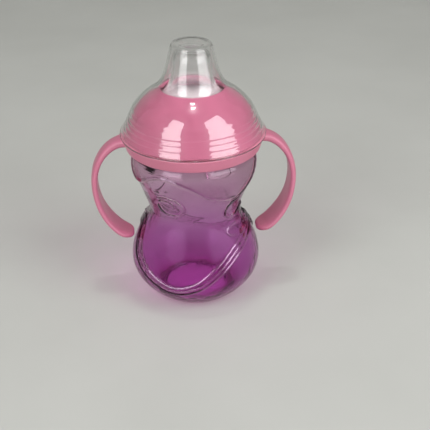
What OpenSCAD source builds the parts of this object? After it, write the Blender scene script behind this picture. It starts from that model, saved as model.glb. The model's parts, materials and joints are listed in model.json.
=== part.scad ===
// Two-handled trainer cup: tinted bottle, handle ring, screw collar, soft spout and clear cover.
// Origin at the centre of the standing ring, +Z up, the handles along the X axis.

/* [Bottle] */
// Radius of the ring that the bottle stands on
base_r = 23; // [21:0.5:25]
// Largest radius of the lower bulge
belly_r = 38.3; // [36.5:0.1:39]
// Smallest radius, at the waist
waist_r = 27.4; // [26:0.1:29]
// Largest radius of the upper bulge
chest_r = 37.2; // [36.6:0.1:37.6]
// Wall of the bottle
bottle_wall = 1.6; // [1.2:0.1:2]
// Depth of the hollow under the base
punt_depth = 3; // [1.5:0.5:4]

/* [Neck and thread] */
// Outer radius of the neck, at the root of the thread
neck_r = 30.5; // [30.3:0.1:30.7]
// Wall of the neck
neck_wall = 1.8; // [1.5:0.1:2.2]
// Rise of the thread in one turn
pitch = 4.5; // [4.2:0.1:4.8]
// Turns of the thread on the neck
neck_turns = 1.5; // [1:0.25:1.5]
// Turns of the thread in the collar
collar_turns = 1.25; // [1:0.25:1.25]

/* [Handles] */
// Thickness of a handle along most of its length
handle_t = 3.8; // [3.2:0.1:4.2]
// Width of a handle where it leaves the ring
root_w = 10.5; // [9:0.5:12]
// Width of a handle at its free end
tip_w = 19; // [15:0.5:20]

/* [Spout] */
// Wall of the soft spout
spout_wall = 1.8; // [1.4:0.1:2]
// Length of the slit that lets the drink out
slit_l = 6; // [4:0.5:8]

/* [Cover] */
// Wall of the clear cover
cover_wall = 1.2; // [1:0.1:1.3]
// Distance from the outside of the cover to the collar under it
collar_inset = 2; // [1.9:0.1:2.4]
// Wall of the collar's dome
collar_wall = 2; // [1.6:0.1:2.2]

/* [Hidden] */
$fn = 96;
SPAN = 5;        // straight pieces in each span of a smooth outline
GAP = 0.3;       // clearance between pieces that touch face to face

// heights
belly_z = 22.5;
waist_z = 54.3;
chest_z = 85;
shoulder_z = 94;
land_h = 2;                       // ledge at the foot of the neck that centres the ring
thread_z = shoulder_z + 5.5;      // middle of the neck's thread where it starts
mouth_z = 108;
band_z = 93.6;                    // lower edge of the handle ring
band_top = 100.6;
rim_z = 100.9;                    // lower edge of the cover
flange_t = 1.7;
ceiling_z = mouth_z + flange_t + 2 * GAP;
hole_z = 127.8;                   // edge of the hole in the collar's dome
spout_top = 149.6;
cover_top = 153;

// radii
thread_r = neck_r + 1.5;          // crest of the neck's thread
land_r = thread_r;
bore_r = thread_r + 0.5;          // inside of the collar's skirt
collar_crest_r = thread_r - 1;
skirt_r = bore_r + 1.9;
ring_bore_r = skirt_r + 0.5;
lip_r = land_r + 0.4;
flange_r = bore_r - 0.6;
bell_r = 27.6;
ledge_r = bell_r + 0.6;           // ledge of the collar that presses the flange down
rim_r = 41;                       // rim of the cover
ring_r = chest_r - 0.5;           // handle ring where it sits on the shoulder

// ---- outlines, as [radius, height] ----

// One point of a smooth curve between points i and i + 1, at t from 0 to 1
function on_curve(p, i, t) =
    let (a = p[max(i - 1, 0)], b = p[i], c = p[i + 1], d = p[min(i + 2, len(p) - 1)])
    0.5 * (2 * b + (c - a) * t + (2 * a - 5 * b + 4 * c - d) * t * t
        + (3 * b - a - 3 * c + d) * t * t * t);

// A smooth curve through the points p, with n pieces in each span
function smooth(p, n = SPAN) =
    [for (i = [0 : len(p) - 2]) for (k = [0 : n - 1]) on_curve(p, i, k / n), p[len(p) - 1]];

// The direction of an outline at point i
function along(p, i) =
    let (d = p[min(i + 1, len(p) - 1)] - p[max(i - 1, 0)]) d / norm(d);

// The outline p moved towards the axis by the distance t
function inset(p, t) = [for (i = [0 : len(p) - 1]) let (u = along(p, i)) p[i] + t * [-u[1], u[0]]];

function turned_back(p) = [for (i = [len(p) - 1 : -1 : 0]) p[i]];

function between(p, low, high) = [for (q = p) if (q[1] > low && q[1] < high) q];

// Outside of the bottle, from the standing ring up to the foot of the neck
body_line = smooth([
    [base_r, 0], [base_r + 4.2, 3.4], [belly_r - 6, 8.2], [belly_r - 1.7, 14.8],
    [belly_r, belly_z], [belly_r - 1.2, 31], [belly_r - 4.6, 39.3], [waist_r + 2, 47.4],
    [waist_r, waist_z], [waist_r + 1.4, 60], [waist_r + 3.8, 66.4], [chest_r - 3.2, 73],
    [chest_r - 0.7, 79.5], [chest_r, chest_z], [chest_r - 0.7, 90], [chest_r - 2.2, 92.6],
    [land_r + 1.6, shoulder_z - 0.3], [land_r, shoulder_z]]);

// Outside of the cover's dome and cone, above its stepped skirt
dome_line = smooth([
    [34.9, 113.7], [33.6, 116.3], [31.4, 119.2], [28.5, 122.2], [25.2, 124.8], [22, 126.9],
    [19.4, 129.1], [17.4, 131.9], [15.6, 135.6], [14.2, 140], [12.9, 145], [11.8, 149.4]]);

// Outside of the cover's skirt: a rim bead under a gently rippled wall
skirt_line = [
    [rim_r, rim_z], [rim_r, rim_z + 1.1], [rim_r - 0.8, rim_z + 1.6], [39, 104.7], [38, 106.9],
    [37.4, 107.9], [36.7, 109.6], [36.2, 110.7], [35.5, 112.6]];

// ---- threads ----

// A helical ridge of the given turns, from radius r_in to r_out, widths w_in and w_out there
module thread(r_in, r_out, w_in, w_out, turns, z0) {
    steps = 48;
    n = round(turns * steps);
    side = sign(r_out - r_in);
    ring = [
        [r_in, -side * w_in / 2], [r_out, -side * w_out / 2],
        [r_out, side * w_out / 2], [r_in, side * w_in / 2]];
    fade = steps / 8;
    points = [for (i = [0 : n]) let (
        a = i * 360 / steps,
        f = min(1, (i + 0.5) / fade, (n - i + 0.5) / fade))
        for (q = ring) let (r = q[0] == r_out ? r_root(r_in, r_out, f) : q[0])
        [r * cos(a), r * sin(a), z0 + q[1] * (0.4 + 0.6 * f) + pitch * i / steps]];
    sides = [for (i = [0 : n - 1]) for (k = [0 : 3]) let (
        a = 4 * i + k,
        b = 4 * i + (k + 1) % 4)
        each [[a, b, a + 4], [b, b + 4, a + 4]]];
    ends = [[0, 3, 2], [0, 2, 1], [4 * n, 4 * n + 1, 4 * n + 2], [4 * n, 4 * n + 2, 4 * n + 3]];
    polyhedron(points, concat(sides, ends));
}

// The crest of a ridge that fades in from its root
function r_root(r_in, r_out, f) = r_in + (r_out - r_in) * (0.3 + 0.7 * f);

// ---- the five pieces ----

// Bottle: two bulges, a waist, a hollow base and a threaded neck
module bottle() {
    inner = inset(body_line, bottle_wall);
    floor_z = bottle_wall + 0.4;
    punt_r = base_r - 4;
    bore = neck_r - neck_wall;
    color([0.62, 0.36, 0.66, 0.6]) {
        rotate_extrude()
            polygon(concat(
                [[0, punt_depth], [punt_r - 3, punt_depth], [punt_r, 0]],
                body_line,
                [[land_r, shoulder_z + land_h], [neck_r, shoulder_z + land_h]],
                [[neck_r, mouth_z - 0.5], [neck_r - 0.5, mouth_z], [bore, mouth_z]],
                [[bore, shoulder_z - 1]],
                turned_back(between(inner, floor_z + 1, shoulder_z - 2.6)),
                [[punt_r + 2, floor_z], [punt_r - 2, punt_depth + bottle_wall]],
                [[0, punt_depth + bottle_wall]]));
        thread(neck_r - 0.5, thread_r, 3, 1.4, neck_turns, thread_z);
    }
}

// Ring clamped between the collar and the bottle's shoulder, with an open handle on each side
module handle_ring() {
    color([0.93, 0.50, 0.63]) {
        rotate_extrude()
            polygon([
                [lip_r, shoulder_z + GAP], [ring_r, shoulder_z + GAP],
                [ring_r, band_z], [ring_r + 1, band_z], [ring_r + 1.4, band_z + 0.4],
                [39.6, band_top - 0.4], [39.2, band_top], [ring_bore_r, band_top],
                [ring_bore_r, shoulder_z + land_h], [lip_r, shoulder_z + land_h]]);
        handle();
        mirror([1, 0, 0]) handle();
    }
}

// Middle line of a handle in the XZ plane, from the ring to the free end
handle_line = smooth([
    [37.5, 97.9], [42, 96.8], [46.6, 94.5], [50.8, 90.6], [54, 85.6], [56.1, 79.8], [57, 73.2],
    [56.6, 66], [55, 58.6], [52, 51.6], [47.8, 45.4], [43, 40.6], [38, 38.4]]);

// Thickness of the handle at point i of its middle line
function handle_thickness(i) = handle_t + 1.4 * max(0, 1 - i / (2 * SPAN));

module handle() {
    last = len(handle_line) - 1;
    tip = handle_line[last];
    tip_dir = along(handle_line, last);
    tip_a = atan2(tip_dir[1], tip_dir[0]);
    outer = [for (i = [0 : last]) let (u = along(handle_line, i))
        handle_line[i] + handle_thickness(i) / 2 * [-u[1], u[0]]];
    inner = [for (i = [0 : last]) let (u = along(handle_line, i))
        handle_line[i] - handle_thickness(i) / 2 * [-u[1], u[0]]];
    end = [for (a = [60 : -30 : -60]) tip + handle_t / 2 * [cos(tip_a + a), sin(tip_a + a)]];
    side_h = 200;
    root_z = 98;
    wide_z = 48;
    end_r = tip_w / 2 - 0.5;
    intersection() {
        // outline from the front
        rotate([90, 0, 0])
            linear_extrude(side_h, center = true)
            polygon(concat(outer, end, turned_back(inner)));
        // outline from the side: widens towards the free end
        rotate([90, 0, 90])
            linear_extrude(side_h, center = true)
            polygon([
                [-root_w / 2, root_z + 5], [-root_w / 2, root_z], [-tip_w / 2, wide_z],
                [-tip_w / 2, 0], [tip_w / 2, 0], [tip_w / 2, wide_z], [root_w / 2, root_z],
                [root_w / 2, root_z + 5]]);
        // outline from above: rounds the free end
        linear_extrude(side_h)
            union() {
                translate([tip[0] - handle_t / 2 + end_r, 0]) circle(end_r);
                translate([tip[0] - handle_t / 2 + end_r, -side_h / 2]) square(side_h);
            }
    }
}

// Domed screw collar: a threaded skirt inside a smooth shell, with a round hole for the spout
module collar() {
    outer = inset(dome_line, collar_inset);
    inner = inset(dome_line, collar_inset + collar_wall);
    hem_z = band_top + 2 * GAP;
    hem_r = rim_r - cover_wall - 1.1;
    side_r = skirt_r + 1.1;       // shell at the height where the skirt joins it
    color([0.93, 0.47, 0.61]) {
        rotate_extrude()
            polygon(concat(
                [[hem_r - collar_wall, hem_z], [hem_r, hem_z], [side_r, mouth_z - 0.2]],
                between(outer, mouth_z, hole_z),
                turned_back(between(inner, ceiling_z + 2, hole_z - collar_wall)),
                [[ledge_r, ceiling_z + 2], [ledge_r, ceiling_z], [bore_r, ceiling_z]],
                [[bore_r, shoulder_z + land_h + GAP], [skirt_r, shoulder_z + land_h + GAP]],
                [[skirt_r, mouth_z - 2.8]]));
        thread(bore_r + 0.5, collar_crest_r, 2.8, 1.2, collar_turns, thread_z - pitch / 2);
    }
}

// Soft one-piece spout: a sealing flange, a bell and a tapered tip with a slit
module spout() {
    flange_z = mouth_z + GAP;
    outer = smooth([
        [bell_r, flange_z + flange_t], [bell_r - 0.2, 113.8], [25.4, 117.9], [21.4, 121.2],
        [17, 124.3], [13.9, 128], [12.3, 132], [11.4, 138], [10.7, 144], [9.4, 147.6],
        [6.6, spout_top - 0.4], [0, spout_top]]);
    inner = [for (q = inset(outer, spout_wall)) if (q[0] > 0.5 && q[1] > flange_z) q];
    slit_w = 0.5;
    slit_z = spout_top - 10;      // below the inside of the tip
    color([0.93, 0.92, 0.93, 0.5])
        difference() {
            rotate_extrude()
                polygon(concat(
                    [[inner[0][0], flange_z], [flange_r, flange_z], [flange_r, flange_z + flange_t]],
                    outer,
                    [[0, spout_top - spout_wall]],
                    turned_back(inner)));
            translate([-slit_l / 2, -slit_w / 2, slit_z]) cube([slit_l, slit_w, 20]);
        }
}

// Clear cover that pushes on over the collar and keeps the spout clean
module cover() {
    crown_r = 8.8;
    crown = [[11.3, cover_top - 1.6], [10.3, cover_top - 0.4], [crown_r, cover_top]];
    outer = concat(skirt_line, dome_line, crown);
    inner = between(inset(outer, cover_wall), rim_z + 0.8, cover_top - cover_wall);
    color([0.92, 0.95, 0.94, 0.3])
        rotate_extrude()
            polygon(concat(
                outer,
                [[0, cover_top], [0, cover_top - cover_wall]],
                [[crown_r, cover_top - cover_wall]],
                turned_back(inner),
                [[rim_r - cover_wall, rim_z]]));
}

bottle();
handle_ring();
collar();
spout();
cover();
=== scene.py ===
import bpy
import json
import math
import numpy as np
from mathutils import Matrix

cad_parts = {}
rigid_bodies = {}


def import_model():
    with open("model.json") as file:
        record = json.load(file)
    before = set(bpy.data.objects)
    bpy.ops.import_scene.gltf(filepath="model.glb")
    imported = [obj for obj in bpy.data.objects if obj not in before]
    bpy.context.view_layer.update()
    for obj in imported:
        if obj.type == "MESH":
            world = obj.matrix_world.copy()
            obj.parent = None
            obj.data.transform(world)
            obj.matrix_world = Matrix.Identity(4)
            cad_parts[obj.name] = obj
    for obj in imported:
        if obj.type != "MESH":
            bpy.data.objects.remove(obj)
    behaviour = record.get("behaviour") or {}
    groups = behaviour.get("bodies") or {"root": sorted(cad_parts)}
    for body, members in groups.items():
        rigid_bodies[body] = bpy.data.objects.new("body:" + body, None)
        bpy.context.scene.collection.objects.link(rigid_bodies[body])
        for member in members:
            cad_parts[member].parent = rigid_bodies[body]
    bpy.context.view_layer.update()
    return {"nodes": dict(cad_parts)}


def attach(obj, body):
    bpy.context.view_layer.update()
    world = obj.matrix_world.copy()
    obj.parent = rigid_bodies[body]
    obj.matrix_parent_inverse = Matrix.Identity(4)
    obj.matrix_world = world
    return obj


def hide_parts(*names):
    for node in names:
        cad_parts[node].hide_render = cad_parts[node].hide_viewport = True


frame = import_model()
MM = 0.001
TAU = 2 * math.pi

# The cup stands at the origin with its handles along X; the camera looks from -Y. Lengths are in
# millimetres here, and mesh_object turns them into metres.


# ---------------------------------------------------------------- outlines

def smooth(points, steps):
    """A Catmull-Rom curve through the points, with this many straight pieces in each span."""
    p = [np.array(q, float) for q in points]
    out = []
    for i in range(len(p) - 1):
        a, b, c, d = p[max(i - 1, 0)], p[i], p[i + 1], p[min(i + 2, len(p) - 1)]
        for k in range(steps):
            t = k / steps
            out.append(0.5 * (2 * b + (c - a) * t + (2 * a - 5 * b + 4 * c - d) * t ** 2
                              + (3 * b - a - 3 * c + d) * t ** 3))
    out.append(p[-1])
    return np.array(out)


def even(line, gap):
    """The open outline with its points spaced evenly, about gap apart."""
    line = np.asarray(line, float)
    run = np.concatenate([[0], np.cumsum(np.linalg.norm(np.diff(line, axis=0), axis=1))])
    at = np.linspace(0, run[-1], max(2, int(round(run[-1] / gap)) + 1))
    return np.stack([np.interp(at, run, line[:, k]) for k in range(line.shape[1])], 1)


def inset(line, t):
    """The outline moved t to the left of its direction: towards the axis on an outline that climbs."""
    d = np.gradient(line, axis=0)
    d /= np.linalg.norm(d, axis=1)[:, None]
    return line + t * np.stack([-d[:, 1], d[:, 0]], 1)


def softened(corners, radii, steps=5):
    """An open outline through the corners, each rounded off over a length of its own."""
    out = [np.array(corners[0], float)]
    for i in range(1, len(corners) - 1):
        p = np.array(corners[i], float)
        a, b = np.array(corners[i - 1], float) - p, np.array(corners[i + 1], float) - p
        la, lb = np.linalg.norm(a), np.linalg.norm(b)
        reach = min(radii[i] if hasattr(radii, "__len__") else radii, 0.45 * la, 0.45 * lb)
        start, end = p + a / la * reach, p + b / lb * reach
        for k in range(steps + 1):
            t = k / steps
            out.append((1 - t) ** 2 * start + 2 * t * (1 - t) * p + t ** 2 * end)
    out.append(np.array(corners[-1], float))
    return np.array(out)


# ---------------------------------------------------------------- meshes

def mesh_object(name, points_mm, faces):
    """A closed mesh whose faces look outwards."""
    points = np.asarray(points_mm, float)
    volume = 0.0
    for size in (3, 4):
        f = np.array([q for q in faces if len(q) == size])
        if len(f):
            a = points[f[:, 0]]
            for k in range(1, size - 1):
                volume += np.einsum("ij,ij->", a, np.cross(points[f[:, k]], points[f[:, k + 1]]))
    if volume < 0:
        faces = [tuple(reversed(f)) for f in faces]
    mesh = bpy.data.meshes.new(name)
    mesh.from_pydata((points * MM).tolist(), [], faces)
    mesh.update()
    mesh.shade_smooth()
    piece = bpy.data.objects.new(name, mesh)
    bpy.context.scene.collection.objects.link(piece)
    return piece


def turned(name, outline, around, shape=None, lower=None):
    """A solid of revolution from an outline of (r, z) that starts and ends on the axis, or is closed.
    shape(angle, row, r, z) may return changed radii of one row, and lower(x, y, z) how far its
    points are lowered."""
    angle = np.arange(around) * TAU / around
    points, rows = [], []
    for i, (r, z) in enumerate(np.asarray(outline, float)):
        if r < 1e-6:
            rows.append([len(points)])
            points.append((0, 0, z - (lower(np.zeros(1), np.zeros(1), z)[0] if lower else 0)))
            continue
        rows.append(list(range(len(points), len(points) + around)))
        rr = np.full(around, r)
        if shape:
            rr = shape(angle, i, rr, z)
        x, y = rr * np.cos(angle), rr * np.sin(angle)
        points += list(zip(x, y, z - lower(x, y, z) if lower else np.full(around, z)))
    faces = []
    n = len(rows)
    for i in range(n):
        a, b = rows[i], rows[(i + 1) % n]
        if len(a) == 1 and len(b) == 1:
            continue
        for k in range(around):
            m = (k + 1) % around
            if len(a) == 1:
                faces.append((a[0], b[m], b[k]))
            elif len(b) == 1:
                faces.append((a[k], a[m], b[0]))
            else:
                faces.append((a[k], a[m], b[m], b[k]))
    return mesh_object(name, points, faces)


def ridge(angle, z, height, start_z, turns, half):
    """How far a helical thread moves the wall at this height: full within half of its middle, and
    sloped over as much again. It fades over the first and last eighth of a turn."""
    share = np.zeros_like(angle)
    for lap in range(-1, int(turns) + 2):
        t = (angle / TAU) + lap
        inside = np.clip(np.minimum(t, turns - t) * 8 + 0.05, 0, 1)
        d = np.abs(z - (start_z + PITCH * t))
        share = np.maximum(share, inside * np.clip(2 - d / half, 0, 1))
    return height * share


# ---------------------------------------------------------------- the bottle's outline and relief

body_line = smooth([
    [23, 0], [27.2, 3.4], [32.3, 8.2], [36.6, 14.8], [38.3, 22.5], [37.1, 31], [33.7, 39.3],
    [29.4, 47.4], [27.4, 54.3], [28.8, 60], [31.2, 66.4], [34, 73], [36.5, 79.5], [37.2, 85],
    [36.5, 90], [35, 92.6], [33.6, 93.7], [32, 94]], 12)
WALL = 1.6
HOLLOW = 3.0               # depth of the hollow under the base
PITCH = 4.5                # rise of the thread in one turn
THREAD_DEPTH = 1.5
NECK_R = 30.5              # neck at the root of its thread
THREAD_Z = 99.5            # middle of the neck's thread where it starts
BORE_R = 32.5              # collar at the root of its thread


def graph(points):
    """A smooth curve of height over angle (degrees), as a function of the angle in radians."""
    line = smooth(points, 8)
    return lambda a: np.interp(np.degrees(a), line[:, 0], line[:, 1])


def curl(deg, z, wide, high, start, turns, shrink=0.0):
    """A line of (degrees, height) round an ellipse, which winds inwards if it shrinks. It starts at
    an angle in degrees, and negative turns run clockwise."""
    t = np.linspace(0, 1, 40)
    a = math.radians(start) + turns * TAU * t
    size = 1 - shrink * t ** 3
    return np.stack([deg + wide * size * np.cos(a), z + high * size * np.sin(a)], 1)


# Crest line of the raised upper part, which runs round the bottle like a wave
wave = graph([(-100, 97), (-85, 95), (-65, 80), (-35, 87), (-10, 83), (10, 75), (35, 70), (50, 74),
              (70, 91), (85, 97), (100, 97)])
# Middle of the ribbon that sweeps round the lower bulge
ribbon = graph([(-100, 48), (-85, 45), (-65, 31), (-45, 22), (-25, 17), (-5, 20), (15, 29), (35, 37),
                (60, 43), (85, 46), (100, 46)])
# Raised lines: a scroll on the left, and a leaf with a loop under it on the right
scroll = curl(-32, 67, 16, 7, 130, -1.4, 0.75)
leaf = curl(50, 62, 16, 7, 95, 0.7)
loop = curl(53, 48, 18, 3, 25, 0.87)
UNROLL = 33.0 * math.pi / 180      # millimetres of wall to one degree, about


def step(x):
    x = np.clip(x, 0, 1)
    return x * x * (3 - 2 * x)


def from_line(deg, z, line):
    """Distance over the wall to a line of (degrees, height)."""
    p = np.stack([deg * UNROLL, np.full_like(deg, z)], 1)
    q = line * np.array([UNROLL, 1.0])
    best = np.full(len(deg), 1e9)
    for a, b in zip(q[:-1], q[1:]):
        d = b - a
        t = np.clip(((p - a) @ d) / (d @ d), 0, 1)
        best = np.minimum(best, np.linalg.norm(p - a - t[:, None] * d, axis=1))
    return best


def slope_of(curve, a):
    """Cosine of the curve's slope over the wall, which turns heights into distances."""
    rise = (curve(a + 0.02) - curve(a - 0.02)) / (0.04 * 35)
    return 1 / np.sqrt(1 + rise ** 2)


def relief(angle, z):
    """How far the wall stands out at this height, in millimetres. The pattern is on the front and
    again on the back."""
    front = angle - 1.5 * math.pi                       # 0 at -Y, growing towards +X
    front = (front + math.pi) % TAU - math.pi
    side = np.where(np.abs(front) > math.pi / 2, front - np.sign(front) * math.pi, front)
    deg = np.degrees(side)
    fade = step((z - 3) / 6) * step((93.5 - z) / 2.5)
    d = (z - wave(side)) * slope_of(wave, side)
    out = 1.3 * (step(d / 1.6 + 0.5) - 1) * (0.25 + 0.75 * step((z - 42) / 20))
    out = out + 0.7 * np.exp(-((d - 0.4) / 0.75) ** 2)
    off_left = (front + math.radians(92) + math.pi) % TAU - math.pi
    out = out - 0.8 * np.exp(-(off_left / 0.6) ** 2) * step((z - 62) / 12)
    e = (z - ribbon(side)) * slope_of(ribbon, side)
    out = out + 0.4 * step((3.5 - np.abs(e)) / 1.4)
    for at, high in ((-2.5, 1.2), (0.0, 1.3), (2.5, 1.2)):
        out = out + high * np.exp(-((e - at) / 0.8) ** 2)
    if 42 < z < 78:
        for line, high, wide in ((scroll, 1.1, 0.85), (leaf, 1.1, 0.85), (loop, 0.8, 0.85)):
            out = out + high * np.exp(-(from_line(deg, z, line) / wide) ** 2)
    return out * fade


outer_wall = even(body_line, 0.66)
inner_wall = even(inset(body_line, WALL), 2.6)
inner_wall = inner_wall[(inner_wall[:, 1] > 3.2) & (inner_wall[:, 1] < 91.2)]
neck_rows = [[32, 95.7], [31.7, 96], [30.8, 96], [NECK_R, 96.3]]
neck_rows += [[NECK_R, z] for z in np.arange(96.7, 107.3, 0.4)]
neck_rows += [[NECK_R, 107.5], [30.35, 107.85], [30, 108], [29.2, 108], [28.85, 107.85], [28.7, 107.5]]
foot = [[0, HOLLOW], [8, HOLLOW], [14, HOLLOW - 0.05], [16.4, HOLLOW - 0.45], [17.6, 1.6], [18.4, 0.5],
        [19.1, 0.08], [19.9, 0], [22, 0]]
inside = [[28.7, 104], [28.7, 99], [28.7, 95.5], [28.9, 94], [30, 92.6], [31.6, 91.8]]
bottom = [[20.6, 2.05], [18.9, 2.3], [17.6, 3.2], [16, 4.2], [14, 4.55], [8, 4.6], [0, 4.6]]
first = len(foot)
last = first + len(outer_wall)
neck_first, neck_last = last, last + len(neck_rows)
inner_first = neck_last + len(inside)
outline = np.array(foot + outer_wall.tolist() + neck_rows + inside + inner_wall[::-1].tolist() + bottom)


def bottle_shape(angle, i, r, z):
    if first <= i < last:
        return r + relief(angle, z)
    if neck_first <= i < neck_last and 96.3 < z < 107.4:
        return r + ridge(angle % TAU, z, THREAD_DEPTH, THREAD_Z, 1.5, 0.65)
    if inner_first <= i < inner_first + len(inner_wall):
        return r + 0.25 * relief(angle, z) - 0.15
    return r


bottle = turned("bottle_body", outline, 384, bottle_shape)
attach(bottle, "bottle")
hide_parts("bottle")


# ---------------------------------------------------------------- the handle ring

ring_outline = softened([
    [32.4, 95.2], [32.4, 94.3], [36.7, 94.3], [36.7, 93.6], [37.7, 93.6], [38.15, 94.1],
    [39.6, 100.1], [39.2, 100.6], [34.9, 100.6], [34.9, 96], [32.4, 96], [32.4, 95.2]],
    [0, 0.15, 0.2, 0.2, 0.35, 0.5, 0.4, 0.35, 0.3, 0.3, 0.2, 0])[:-1]
ring = turned("handle_ring_band", ring_outline, 192)

handle_line = smooth([
    [36.2, 98.0], [42, 96.8], [46.6, 94.5], [50.8, 90.6], [54, 85.6], [56.1, 79.8], [57, 73.2],
    [56.6, 66], [55, 58.6], [52, 51.6], [47.8, 45.4], [43, 40.6], [38, 38.4]], 10)


def handle(name, sign):
    """An open handle: a strap with rounded edges that widens towards a rounded free end."""
    line = even(handle_line, 1.0)
    tip = line[-1]
    along = np.gradient(line, axis=0)
    along /= np.linalg.norm(along, axis=1)[:, None]
    around = 40
    points, rows = [], []
    end_steps = 7
    for j in range(len(line) + end_steps):
        i = min(j, len(line) - 1)
        p, u = line[i], along[i]
        n = np.array([-u[1], u[0]])
        width = np.interp(p[1], [48, 98], [19, 10.5])
        width += 3.2 * step((43.5 - p[0]) / 6) * step((p[1] - 90) / 3)      # flares into the ring
        thick = 3.8 + 1.4 * max(0, 1 - i / 22)
        grow = 1.0
        if j >= len(line):
            t = (j - len(line) + 1) / end_steps
            p = p + u * 1.9 * math.sin(t * math.pi / 2)
            grow = math.sqrt(max(0.0, 1 - math.sin(t * math.pi / 2) ** 2))
        centre_x = tip[0] - 1.9 + 9
        reach = centre_x - p[0]
        half = width / 2
        if p[1] < 60 and reach > 0:
            half = min(half, math.sqrt(max(0.3, 9.3 ** 2 - reach ** 2)))
        rows.append(list(range(len(points), len(points) + around)))
        for k in range(around):
            a = TAU * k / around
            c, s = math.cos(a), math.sin(a)
            across = half * math.copysign(abs(c) ** 0.42, c)
            out = thick / 2 * grow * math.copysign(abs(s) ** 0.72, s)
            crown = -0.35 * (across / max(half, 1e-6)) ** 2 if s > 0 else 0
            q = p + n * (out + crown * grow)
            points.append((sign * q[0], across, q[1]))
    faces = []
    for a, b in zip(rows[:-1], rows[1:]):
        for k in range(around):
            m = (k + 1) % around
            faces.append((a[k], a[m], b[m], b[k]))
    for row in (rows[0], rows[-1]):
        centre = len(points)
        points.append(tuple(np.mean([points[k] for k in row], axis=0)))
        for k in range(around):
            m = (k + 1) % around
            faces.append((row[m], row[k], centre) if row is rows[0] else (row[k], row[m], centre))
    return mesh_object(name, points, faces)


for piece in (ring, handle("handle_right", 1), handle("handle_left", -1)):
    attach(piece, "handle_ring")
    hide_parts("handle_ring")


# ---------------------------------------------------------------- the cover, the collar and the spout

dome_line = smooth([
    [34.9, 113.7], [33.6, 116.3], [31.4, 119.2], [28.5, 122.2], [25.2, 124.8], [22, 126.9],
    [19.4, 129.1], [17.4, 131.9], [15.6, 135.6], [14.2, 140], [12.9, 145], [11.8, 149.4]], 10)
COVER_WALL = 1.2
RIPPLE = 0.12               # waves in the wall of the skirt
skirt = np.concatenate([
    softened([[41, 101.3], [41, 102], [40.2, 102.5], [39.6, 103.6]], 0.4, 4)[:-1],
    smooth([[39.6, 103.6], [39, 104.7], [38, 106.9], [37.4, 107.9], [36.7, 109.6], [36.2, 110.7],
            [35.5, 112.6], [34.9, 113.7]], 5)])
crown = softened([[11.8, 149.4], [11.3, 151.6], [10.3, 152.7], [8.8, 153], [6, 153]], 1.0, 4)
cover_outer = np.concatenate([skirt[:-1], even(dome_line, 0.8)[:-1], crown])
in_skirt = step((cover_outer[:, 1] - 103) / 2) * step((119 - cover_outer[:, 1]) / 4)
cover_outer[:, 0] += RIPPLE * in_skirt * np.sin(cover_outer[:, 1] * TAU / 2.7)
inner = inset(cover_outer, COVER_WALL)
inner = inner[(inner[:, 1] < 151.4) & (inner[:, 1] > 101.9)]
inner = inner[np.concatenate([[True], np.diff(inner[:, 1]) > -0.05])]
cover_line = np.concatenate([
    [[0, 153], [3, 153]], cover_outer[::-1], [[40.9, 101], [40.6, 100.9], [40.1, 100.9],
     [39.85, 101.0]], inner, [[8.6, 151.8], [6, 151.8], [0, 151.8]]])
cover = turned("cover_shell", cover_line, 192)
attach(cover, "cover")
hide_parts("cover")

collar_outer = inset(dome_line, 2.0)
collar_outer = even(collar_outer[(collar_outer[:, 1] < 127.8) & (collar_outer[:, 1] > 109)], 0.8)
collar_inner = inset(dome_line, 4.0)
collar_inner = even(collar_inner[(collar_inner[:, 1] < 126.0) & (collar_inner[:, 1] > 112.4)], 1.2)
top_in, top_out = collar_inner[-1], collar_outer[-1]
lip = softened([top_out, (top_out + top_in) / 2 + [0, 0.9], top_in], 1.2, 5)
collar_thread_rows = [[BORE_R, z] for z in np.arange(109.9, 96.9, -0.34)]
collar_line = np.concatenate([
    softened([[36.7, 101.2], [38.7, 101.2], [35.5, 107.8], collar_outer[0]], [0, 0.5, 1.2, 0], 4)[:-1],
    collar_outer[:-1], lip, collar_inner[::-1][1:],
    [[28.2, 112.3], [28.2, 110.3], [32.3, 110.3]], collar_thread_rows,
    [[BORE_R, 96.4], [34.4, 96.3], [34.4, 105.2]]])


def collar_shape(angle, i, r, z):
    if np.all(np.abs(r - BORE_R) < 1e-6) and 96.5 < z < 110:
        return r + ridge(angle % TAU, z, -THREAD_DEPTH, THREAD_Z - PITCH / 2, 1.25, 0.6)
    return r


collar = turned("collar_shell", collar_line, 256, collar_shape)
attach(collar, "collar")
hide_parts("collar")

spout_outer = smooth([
    [27.6, 110], [27.4, 113.8], [25.4, 117.9], [21.4, 121.2], [17, 124.3], [13.9, 128],
    [12.3, 132], [11.4, 138], [10.7, 144], [9.4, 147.6], [6.6, 149.2], [3, 149.6]], 8)
spout_inner = inset(spout_outer, 1.8)
spout_inner = spout_inner[(spout_inner[:, 1] > 110.4) & (spout_inner[:, 0] > 1.5)]
spout_line = np.concatenate([
    [[0, 149.6], [0.35, 149.6], [0.8, 149.6], [1.4, 149.6], [2.2, 149.6]],
    even(spout_outer, 0.6)[::-1], [[31.6, 110], [31.9, 109.8], [31.9, 108.5],
     [31.6, 108.3], [26.2, 108.3], [25.8, 108.6]], even(spout_inner, 1.0), [[0, 147.8]]])


def slit(x, y, z):
    """A groove along X across the top of the tip, where the drink comes out."""
    cut = np.clip((0.45 - np.abs(y)) / 0.2, 0, 1) * np.clip((3.2 - np.abs(x)) / 0.4, 0, 1)
    return cut * (1.3 if z > 149 else 0)


spout = turned("spout_body", spout_line, 144, lower=slit)
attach(spout, "spout")
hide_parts("spout")


# ---------------------------------------------------------------- materials

def material(name):
    mat = bpy.data.materials.new(name)
    mat.use_nodes = True
    nodes, links = mat.node_tree.nodes, mat.node_tree.links
    return mat, nodes, links, nodes["Principled BSDF"]


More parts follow.
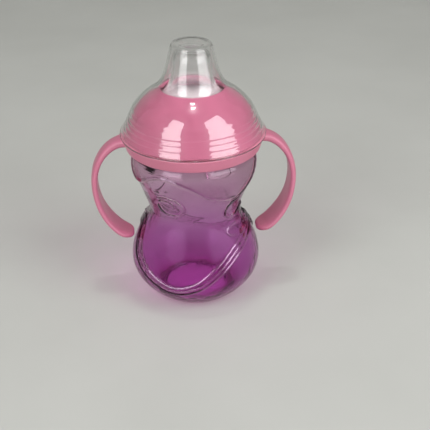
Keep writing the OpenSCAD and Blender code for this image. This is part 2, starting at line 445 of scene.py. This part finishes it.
def noise(nodes, links, scale, detail=3.0):
    """Noise in the object's own space."""
    where = nodes.new("ShaderNodeTexCoord")
    tex = nodes.new("ShaderNodeTexNoise")
    tex.inputs["Scale"].default_value = scale
    tex.inputs["Detail"].default_value = detail
    links.new(where.outputs["Object"], tex.inputs["Vector"])
    return tex.outputs["Fac"]


def between(nodes, links, fac, low, high):
    """Maps noise onto a range of numbers."""
    node = nodes.new("ShaderNodeMapRange")
    node.inputs["From Min"].default_value = 0.3
    node.inputs["From Max"].default_value = 0.7
    node.inputs["To Min"].default_value = low
    node.inputs["To Max"].default_value = high
    links.new(fac, node.inputs["Value"])
    return node.outputs["Result"]


def tone(nodes, links, fac, a, b):
    """A colour that varies between a and b with the noise."""
    ramp = nodes.new("ShaderNodeValToRGB")
    ramp.color_ramp.elements[0].position = 0.35
    ramp.color_ramp.elements[0].color = (*a, 1)
    ramp.color_ramp.elements[1].position = 0.65
    ramp.color_ramp.elements[1].color = (*b, 1)
    links.new(fac, ramp.inputs["Fac"])
    return ramp.outputs["Color"]


def bump(nodes, links, fac, height_mm, target):
    node = nodes.new("ShaderNodeBump")
    node.inputs["Strength"].default_value = 1.0
    node.inputs["Distance"].default_value = height_mm * MM
    links.new(fac, node.inputs["Height"])
    links.new(node.outputs["Normal"], target)
    return node


def opaque_plastic(name, light, dark, rough):
    """Injection-moulded polypropylene: faint mottling, a slightly uneven gloss and a fine ripple."""
    mat, nodes, links, bsdf = material(name)
    links.new(tone(nodes, links, noise(nodes, links, 40), dark, light), bsdf.inputs["Base Color"])
    links.new(between(nodes, links, noise(nodes, links, 90, 5), rough - 0.04, rough + 0.05),
              bsdf.inputs["Roughness"])
    bump(nodes, links, noise(nodes, links, 260, 4), 0.02, bsdf.inputs["Normal"])
    bsdf.inputs["IOR"].default_value = 1.49
    return mat


def by_height(nodes, links, low_z, high_z, low, high):
    """A number that goes from low to high between two heights in millimetres."""
    where, parts = nodes.new("ShaderNodeTexCoord"), nodes.new("ShaderNodeSeparateXYZ")
    links.new(where.outputs["Object"], parts.inputs["Vector"])
    node = nodes.new("ShaderNodeMapRange")
    node.inputs["From Min"].default_value = low_z * MM
    node.inputs["From Max"].default_value = high_z * MM
    node.inputs["To Min"].default_value = low
    node.inputs["To Max"].default_value = high
    links.new(parts.outputs["Z"], node.inputs["Value"])
    return node.outputs["Result"]


CREST_SHINE = (6, 4.6, 6.2)      # above 1, so brighter than real plastic: a strengthened highlight on the crests, standing in for light reflected inside thick ribs


def lit_crests(nodes, links, tint, low, high):
    """The tint, going over to CREST_SHINE where the wall bulges outwards more sharply."""
    bend = nodes.new("ShaderNodeNewGeometry")
    share = nodes.new("ShaderNodeMapRange")
    share.inputs["From Min"].default_value = low
    share.inputs["From Max"].default_value = high
    links.new(bend.outputs["Pointiness"], share.inputs["Value"])
    blend = nodes.new("ShaderNodeMix")
    blend.data_type = "RGBA"
    blend.inputs["B"].default_value = (*CREST_SHINE, 1)
    links.new(share.outputs["Result"], blend.inputs["Factor"])
    links.new(tint, blend.inputs["A"])
    return blend.outputs["Result"]


def clear_plastic(name, rough, ior, ripple_mm, ripple_scale, density, colour, tints=(), milky=None,
                  wavy=None, shade=(1, 1, 1), crest=None):
    """Clear moulded plastic. Light passes straight through it towards other surfaces, and its tint
    comes from the thickness of the wall. Each of tints (from height, to height, low, high, socket)
    changes a colour with the height, milky (from height, to height, share, roughness) makes the lower
    part cloudy, wavy (from height, to height) keeps the ripple low down, shade tints the light that
    falls through, and crest (from, to) brightens the crests of raised lines."""
    mat, nodes, links, bsdf = material(name)
    bsdf.inputs["Transmission Weight"].default_value = 1.0
    bsdf.inputs["IOR"].default_value = ior
    bsdf.inputs["Base Color"].default_value = (1, 1, 1, 1)
    # A Base Color ramp here paints in light and shade that change with the height. A Specular Tint ramp
    # changes the gloss.
    for at, to, low, high, socket in tints:
        ramp = nodes.new("ShaderNodeValToRGB")
        ramp.color_ramp.elements[0].color = (*low, 1)
        ramp.color_ramp.elements[1].color = (*high, 1)
        links.new(by_height(nodes, links, at, to, 0, 1), ramp.inputs["Fac"])
        tint = ramp.outputs["Color"]
        if crest and socket == "Specular Tint":
            tint = lit_crests(nodes, links, tint, *crest)
        links.new(tint, bsdf.inputs[socket])
    if milky:
        at, to, share, low_rough = milky
        links.new(by_height(nodes, links, at, to, share, 1.0), bsdf.inputs["Transmission Weight"])
        links.new(by_height(nodes, links, at, to, low_rough, rough), bsdf.inputs["Roughness"])
    else:
        links.new(between(nodes, links, noise(nodes, links, 60, 4), rough, rough + 0.03),
                  bsdf.inputs["Roughness"])
    waves = bump(nodes, links, noise(nodes, links, ripple_scale, 2), ripple_mm, bsdf.inputs["Normal"])
    if wavy:
        links.new(by_height(nodes, links, *wavy, 1.0, 0.1), waves.inputs["Strength"])
    ray = nodes.new("ShaderNodeLightPath")
    through = nodes.new("ShaderNodeBsdfTransparent")
    through.inputs["Color"].default_value = (*shade, 1)
    mix = nodes.new("ShaderNodeMixShader")
    links.new(ray.outputs["Is Shadow Ray"], mix.inputs["Fac"])
    links.new(bsdf.outputs["BSDF"], mix.inputs[1])
    links.new(through.outputs["BSDF"], mix.inputs[2])
    links.new(mix.outputs["Shader"], nodes["Material Output"].inputs["Surface"])
    body = nodes.new("ShaderNodeVolumeAbsorption")
    body.inputs["Color"].default_value = (*colour, 1)
    body.inputs["Density"].default_value = density
    links.new(body.outputs["Volume"], nodes["Material Output"].inputs["Volume"])
    return mat


paint = {
    # The bottle's base colour goes from deep purple at 20 mm to pale lilac at 88 mm. This is painted
    # shade: deeper low down, where light has crossed several tinted walls and the tinted shadow under
    # the bottle.
    bottle: clear_plastic("tinted_plastic", 0.035, 1.38, 0.5, 110, 170.0, (0.52, 0.02, 0.30),
                          [(20, 88, (0.84, 0.48, 0.88), (0.92, 0.84, 0.88), "Base Color"),
                           (48, 76, (0.22, 0.15, 0.25), (1, 1, 1), "Specular Tint")],
                          milky=(46, 78, 1.0, 0.1), wavy=(44, 76), shade=(1, 0.97, 1),
                          crest=(0.505, 0.54)),
    cover: clear_plastic("clear_plastic", 0.01, 1.5, 0.015, 50, 15.0, (0.7, 0.8, 0.75)),
    # The spout's cloudy lower part is painted pink. This is painted light: the pink collar's colour
    # showing through the clear silicone.
    spout: clear_plastic("clear_silicone", 0.06, 1.41, 0.03, 80, 12.0, (0.6, 0.55, 0.6),
                         [(122, 131, (0.86, 0.66, 0.71), (1, 1, 1), "Base Color")],
                         milky=(123, 133, 0.6, 0.3)),
    collar: opaque_plastic("collar_plastic", (0.35, 0.09, 0.155), (0.32, 0.08, 0.14), 0.2),
}
pink = opaque_plastic("pink_plastic", (0.56, 0.175, 0.27), (0.53, 0.16, 0.245), 0.34)
for piece in bpy.context.scene.objects:
    if piece.name in ("handle_ring_band", "handle_right", "handle_left"):
        paint[piece] = pink
for piece, mat in paint.items():
    piece.data.materials.clear()
    piece.data.materials.append(mat)
for node, name in (("bottle", "tinted_plastic"), ("cover", "clear_plastic"), ("spout", "clear_silicone"),
                   ("collar", "collar_plastic"), ("handle_ring", "pink_plastic")):
    carried = frame["nodes"][node].data.materials
    carried.clear()
    carried.append(bpy.data.materials[name])


# ---------------------------------------------------------------- floor, light and camera

def sheet(name, rows, mat):
    """A strip of stage, from rows of points."""
    points = [p for row in rows for p in row]
    n = len(rows[0])
    faces = [(i * n + k, i * n + k + 1, (i + 1) * n + k + 1, (i + 1) * n + k)
             for i in range(len(rows) - 1) for k in range(n - 1)]
    mesh = bpy.data.meshes.new(name)
    mesh.from_pydata((np.array(points) * MM).tolist(), [], faces)
    mesh.update()
    mesh.shade_smooth()
    made = bpy.data.objects.new(name, mesh)
    made.data.materials.append(mat)
    bpy.context.scene.collection.objects.link(made)
    return made


stage_mat, nodes, links, bsdf = material("stage_paint")
links.new(tone(nodes, links, noise(nodes, links, 9, 4), (0.555, 0.56, 0.53), (0.585, 0.59, 0.56)),
          bsdf.inputs["Base Color"])
bsdf.inputs["Roughness"].default_value = 0.55
sweep = [(y, 0) for y in (-3000, -800, -300, 0, 300, 1000)]
sweep += [(1300 + 500 * math.sin(t), 500 - 500 * math.cos(t)) for t in np.linspace(0, math.pi / 2, 14)]
sweep += [(1800, 1500), (1800, 3000)]
sheet("floor", [[(x, y, z) for x in (-3000, 3000)] for y, z in sweep], stage_mat)


def area_light(name, azimuth, away_mm, height_mm, wide, high, radiance, down=False):
    """A glowing panel at this distance from the cup's axis, upright and facing it, or facing down.
    The azimuth is from -Y towards +X, in degrees."""
    a = math.radians(azimuth)
    out = np.array([math.sin(a), -math.cos(a), 0])
    lamp = bpy.data.lights.new(name, "AREA")
    lamp.shape = "RECTANGLE"
    lamp.size, lamp.size_y = wide * MM, high * MM
    lamp.energy = radiance * math.pi * wide * high * MM * MM
    made = bpy.data.objects.new(name, lamp)
    made.visible_camera = False
    bpy.context.scene.collection.objects.link(made)
    z = np.array([0, 0, 1.0]) if down else out
    x = np.cross([0, 1.0, 0] if down else [0, 0, 1.0], z)
    y = np.cross(z, x)
    turn = Matrix((x, y, z)).transposed().to_4x4()
    made.matrix_world = Matrix.Translation((out * away_mm + [0, 0, height_mm]) * MM) @ turn
    return made


area_light("window_left", -43, 1000, 930, 600, 1520, 3.9)
area_light("window_right", 49, 1000, 930, 860, 1520, 3.7)
area_light("lamp", 0, 40, 1150, 90, 60, 60, down=True)

world = bpy.data.worlds.new("room")
world.use_nodes = True
world.node_tree.nodes["Background"].inputs["Color"].default_value = (0.8, 0.8, 0.78, 1)
world.node_tree.nodes["Background"].inputs["Strength"].default_value = 0.36
bpy.context.scene.world = world

camera_data = bpy.data.cameras.new("camera")
camera_data.sensor_width = 36
camera_data.lens = 75.35
camera_data.clip_start = 0.01
camera = bpy.data.objects.new("camera", camera_data)
bpy.context.scene.collection.objects.link(camera)
HEADING, PITCH_DOWN, ROLL = 5.0, 29.355, -0.56
camera.matrix_world = (
    Matrix.Translation((-0.0286, -0.4629, 0.3076))
    @ Matrix.Rotation(math.radians(-HEADING), 4, "Z")
    @ Matrix.Rotation(math.radians(90 - PITCH_DOWN), 4, "X")
    @ Matrix.Rotation(math.radians(ROLL), 4, "Z"))
bpy.context.scene.camera = camera

view = bpy.context.scene.view_settings
view.view_transform = "Standard"
view.look = "None"
cycles = bpy.context.scene.cycles
cycles.use_denoising = True
cycles.max_bounces = 24
cycles.transmission_bounces = 24
cycles.transparent_max_bounces = 32
cycles.glossy_bounces = 8
cycles.caustics_refractive = True
